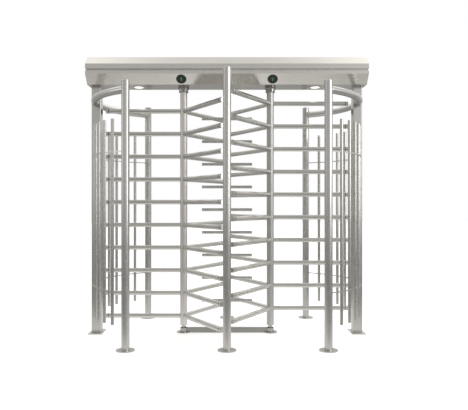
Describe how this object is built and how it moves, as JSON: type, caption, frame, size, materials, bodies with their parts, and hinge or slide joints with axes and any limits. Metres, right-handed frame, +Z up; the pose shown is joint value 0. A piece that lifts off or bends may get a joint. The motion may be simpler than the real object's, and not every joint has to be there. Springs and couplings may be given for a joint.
{
  "type": "full-height turnstile",
  "caption": "Double full-height turnstile in satin stainless steel: header canopy, interleaving arm rotors, fixed comb, curved side cages and base plates.",
  "frame": {"origin": "on the floor plane, at the middle of the footprint between the two rotor axes", "axes": "+X across the two lanes to the right as seen from the front, +Y towards the rear side, +Z up"},
  "size_m": [2.314, 1.3896, 2.3],
  "materials": {
    "satin_tube": "satin ground stainless tube",
    "satin_plate": "satin ground stainless plate and square tube",
    "polished_caps": "fine turned stainless",
    "header_sheet": "linear grained stainless sheet",
    "groove_dark": "dark satin",
    "chassis_zinc": "zinc plated sheet",
    "black_rubber": "matte",
    "bearing_steel": "ground bearing steel",
    "gear_steel": "oiled machined steel",
    "pinion_brass": "machined",
    "zinc_fasteners": "zinc plated",
    "indicator_bezel": "fine turned",
    "indicator_green": "dark green gloss lens",
    "indicator_symbol": "light green translucent symbol",
    "lamp_body": "white satin",
    "lamp_diffuser": "opal diffuser",
    "unit_aluminium": "satin",
    "unit_paint": "grey powder coat",
    "coil_black": "moulded coil"
  },
  "bodies": {
    "frame": {"bar_caps": "polished_caps", "bottom_beam": "satin_plate", "cage_bars": "satin_tube", "cage_hoops": "satin_tube", "center_posts": "satin_tube", "comb_cross_bars": "satin_tube", "comb_long_bars": "satin_tube", "controller_box": "unit_paint", "counter_encoders": "unit_aluminium", "downlight_bodies": "lamp_body", "downlight_lenses": "lamp_diffuser", "header_chassis": "chassis_zinc", "header_fascia": "header_sheet", "header_groove_rail": "groove_dark", "header_pan": "header_sheet", "indicator_housings": "indicator_bezel", "indicator_lenses": "indicator_green", "indicator_symbols": "indicator_symbol", "lock_brackets": "chassis_zinc", "lock_solenoids": "coil_black", "lower_bearings": "bearing_steel", "lower_pivot_housings": "satin_plate", "lower_seals": "black_rubber", "m10_screws": "zinc_fasteners", "m5_screws": "zinc_fasteners", "m8_screws": "zinc_fasteners", "outer_posts": "satin_tube", "post_base_plates": "satin_plate", "post_caps": "polished_caps", "power_supply": "unit_aluminium", "side_post_base_plates": "satin_plate", "side_post_cap_plates": "satin_plate", "side_post_grommets": "black_rubber", "side_posts": "satin_plate", "tie_tube_saddle": "satin_plate", "top_collars": "polished_caps", "top_rings": "satin_tube", "top_tie_tube": "satin_tube", "upper_bearings": "bearing_steel"},
    "left_rotor": {"left_arm_end_caps": "polished_caps", "left_drive_gear": "gear_steel", "left_lock_disc": "gear_steel", "left_lower_stub": "bearing_steel", "left_rotor_arms": "satin_tube", "left_rotor_column": "satin_tube", "left_shaft_nut": "zinc_fasteners", "left_upper_shaft": "bearing_steel"},
    "right_rotor": {"right_arm_end_caps": "polished_caps", "right_drive_gear": "gear_steel", "right_lock_disc": "gear_steel", "right_lower_stub": "bearing_steel", "right_rotor_arms": "satin_tube", "right_rotor_column": "satin_tube", "right_shaft_nut": "zinc_fasteners", "right_upper_shaft": "bearing_steel"},
    "left_counter": {"left_counter_pinion": "pinion_brass"},
    "right_counter": {"right_counter_pinion": "pinion_brass"},
    "left_bolt": {"left_lock_bolt": "bearing_steel"},
    "right_bolt": {"right_lock_bolt": "bearing_steel"},
    "lid": {"header_lid": "header_sheet"}
  },
  "joints": [
    {"name": "left_rotor_spin", "type": "hinge", "parent": "frame", "child": "left_rotor", "pos_m": [-0.366, 0, 1], "axis": [0, 0, 1], "continuous": true},
    {"name": "left_counter_spin", "type": "hinge", "parent": "frame", "child": "left_counter", "pos_m": [-0.294, 0, 2.115], "axis": [0, 0, 1], "continuous": true},
    {"name": "left_bolt_slide", "type": "slide", "parent": "frame", "child": "left_bolt", "axis": [1, 0, 0], "range_m": [0, 0.014], "stiffness_N_per_m": 150},
    {"name": "right_rotor_spin", "type": "hinge", "parent": "frame", "child": "right_rotor", "pos_m": [0.366, 0, 1], "axis": [0, 0, 1], "continuous": true},
    {"name": "right_counter_spin", "type": "hinge", "parent": "frame", "child": "right_counter", "pos_m": [0.294, 0, 2.115], "axis": [0, 0, 1], "continuous": true},
    {"name": "right_bolt_slide", "type": "slide", "parent": "frame", "child": "right_bolt", "axis": [-1, 0, 0], "range_m": [0, 0.014], "stiffness_N_per_m": 150},
    {"name": "lid_lift", "type": "slide", "parent": "frame", "child": "lid", "axis": [0, 0, 1], "range_m": [0, 0.12]}
  ],
  "couplings": [
    {"joint": "left_counter_spin", "follows": "left_rotor_spin", "ratio": -3},
    {"joint": "right_counter_spin", "follows": "right_rotor_spin", "ratio": -3}
  ]
}
